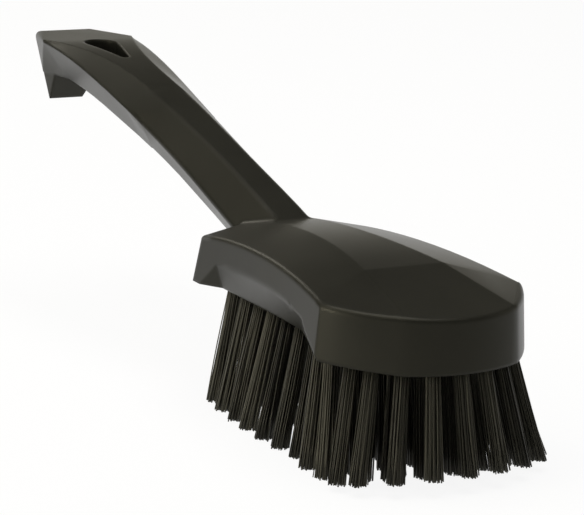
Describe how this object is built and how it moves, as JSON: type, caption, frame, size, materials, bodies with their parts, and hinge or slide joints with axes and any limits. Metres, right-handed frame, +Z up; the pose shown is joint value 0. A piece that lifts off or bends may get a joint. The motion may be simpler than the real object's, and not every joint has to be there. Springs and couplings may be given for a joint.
{
  "type": "hand brush",
  "caption": "One-piece moulded hand brush with a flared bristle head, a rising curved handle, a teardrop hanging hole and a hooked handle end.",
  "frame": {"origin": "middle of the length and width of the whole brush, on the plane of the trimmed bristle tips that it rests on", "axes": "+X along the brush from the handle end to the nose, +Y across it to its left side, +Z up from the bristle tips to the block"},
  "size_m": [0.2744, 0.0738, 0.0922],
  "materials": {
    "moulded_body": "satin moulded black",
    "bristle": "stiff black filaments",
    "staple_wire": "flat stainless wire"
  },
  "bodies": {
    "root": {"brush_body": "moulded_body", "staples_nose_arc_1": "staple_wire", "staples_nose_arc_2": "staple_wire", "staples_nose_arc_3": "staple_wire", "staples_nose_arc_4": "staple_wire", "staples_row_01": "staple_wire", "staples_row_02": "staple_wire", "staples_row_03": "staple_wire", "staples_row_04": "staple_wire", "staples_row_05": "staple_wire", "staples_row_06": "staple_wire", "staples_row_07": "staple_wire", "staples_row_08": "staple_wire", "staples_row_09": "staple_wire", "tufts_nose_arc_1": "bristle", "tufts_nose_arc_2": "bristle", "tufts_nose_arc_3": "bristle", "tufts_nose_arc_4": "bristle", "tufts_row_01": "bristle", "tufts_row_02": "bristle", "tufts_row_03": "bristle", "tufts_row_04": "bristle", "tufts_row_05": "bristle", "tufts_row_06": "bristle", "tufts_row_07": "bristle", "tufts_row_08": "bristle", "tufts_row_09": "bristle"}
  },
  "joints": []
}
